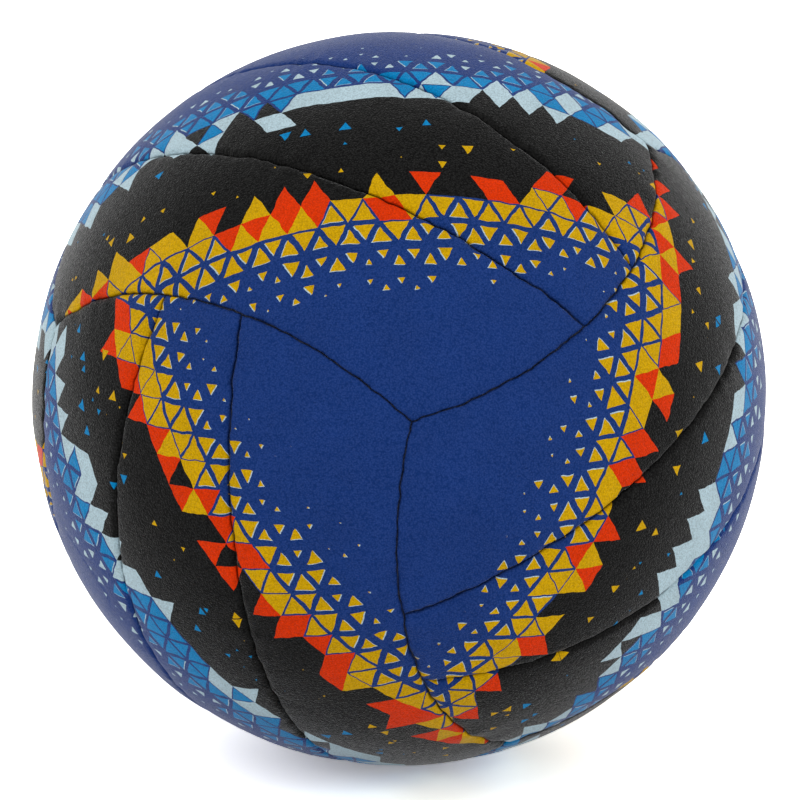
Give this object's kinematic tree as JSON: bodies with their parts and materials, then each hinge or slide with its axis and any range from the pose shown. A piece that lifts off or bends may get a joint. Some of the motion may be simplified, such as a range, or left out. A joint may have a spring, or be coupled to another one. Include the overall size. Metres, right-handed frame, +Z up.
{
  "type": "volleyball",
  "caption": "Inflated ball of sewn, foam-backed strips in six faces of parallel panels, over a rubber bladder with a needle valve, for court play.",
  "frame": {"origin": "the ball's centre", "axes": "+Z up as the ball lies in the picture, +X to the picture's right, +Y away from the camera"},
  "size_m": [0.21, 0.21, 0.21],
  "materials": {
    "panel_leather": "semi-matte grained synthetic leather with a printed pattern",
    "lining_cloth": "woven cotton and polyester cloth",
    "seam_thread": "waxed polyester thread",
    "bladder_rubber": "matte butyl rubber",
    "valve_rubber": "matte moulded rubber",
    "plug_rubber": "smooth moulded rubber",
    "patch_cloth": "rubberised cloth"
  },
  "bodies": {
    "ball": {"upper_side_panel_1": "panel_leather", "upper_middle_panel": "panel_leather", "upper_side_panel_2": "panel_leather", "lower_side_panel_1": "panel_leather", "lower_middle_panel": "panel_leather", "lower_side_panel_2": "panel_leather", "front_right_side_panel_1": "panel_leather", "front_right_middle_panel": "panel_leather", "front_right_side_panel_2": "panel_leather", "rear_left_side_panel_1": "panel_leather", "rear_left_middle_panel": "panel_leather", "rear_left_side_panel_2": "panel_leather", "front_left_side_panel_1": "panel_leather", "front_left_middle_panel": "panel_leather", "front_left_side_panel_2": "panel_leather", "rear_right_side_panel_1": "panel_leather", "rear_right_middle_panel": "panel_leather", "rear_right_side_panel_2": "panel_leather", "upper_side_lining_1": "lining_cloth", "upper_middle_lining": "lining_cloth", "upper_side_lining_2": "lining_cloth", "lower_side_lining_1": "lining_cloth", "lower_middle_lining": "lining_cloth", "lower_side_lining_2": "lining_cloth", "front_right_side_lining_1": "lining_cloth", "front_right_middle_lining": "lining_cloth", "front_right_side_lining_2": "lining_cloth", "rear_left_side_lining_1": "lining_cloth", "rear_left_middle_lining": "lining_cloth", "rear_left_side_lining_2": "lining_cloth", "front_left_side_lining_1": "lining_cloth", "front_left_middle_lining": "lining_cloth", "front_left_side_lining_2": "lining_cloth", "rear_right_side_lining_1": "lining_cloth", "rear_right_middle_lining": "lining_cloth", "rear_right_side_lining_2": "lining_cloth", "upper_strip_threads": "seam_thread", "upper_edge_threads": "seam_thread", "lower_strip_threads": "seam_thread", "lower_edge_threads": "seam_thread", "front_right_strip_threads": "seam_thread", "front_right_edge_threads": "seam_thread", "rear_left_strip_threads": "seam_thread", "rear_left_edge_threads": "seam_thread", "front_left_strip_threads": "seam_thread", "front_left_edge_threads": "seam_thread", "rear_right_strip_threads": "seam_thread", "rear_right_edge_threads": "seam_thread", "bladder": "bladder_rubber", "valve_body": "valve_rubber", "valve_patch": "patch_cloth"},
    "valve_plug": {"valve_plug": "plug_rubber"}
  },
  "joints": [
    {"name": "valve_plug_pull", "type": "slide", "parent": "ball", "child": "valve_plug", "axis": [0.5388, 0.6763, 0.5023], "range_m": [0, 0.022]}
  ]
}
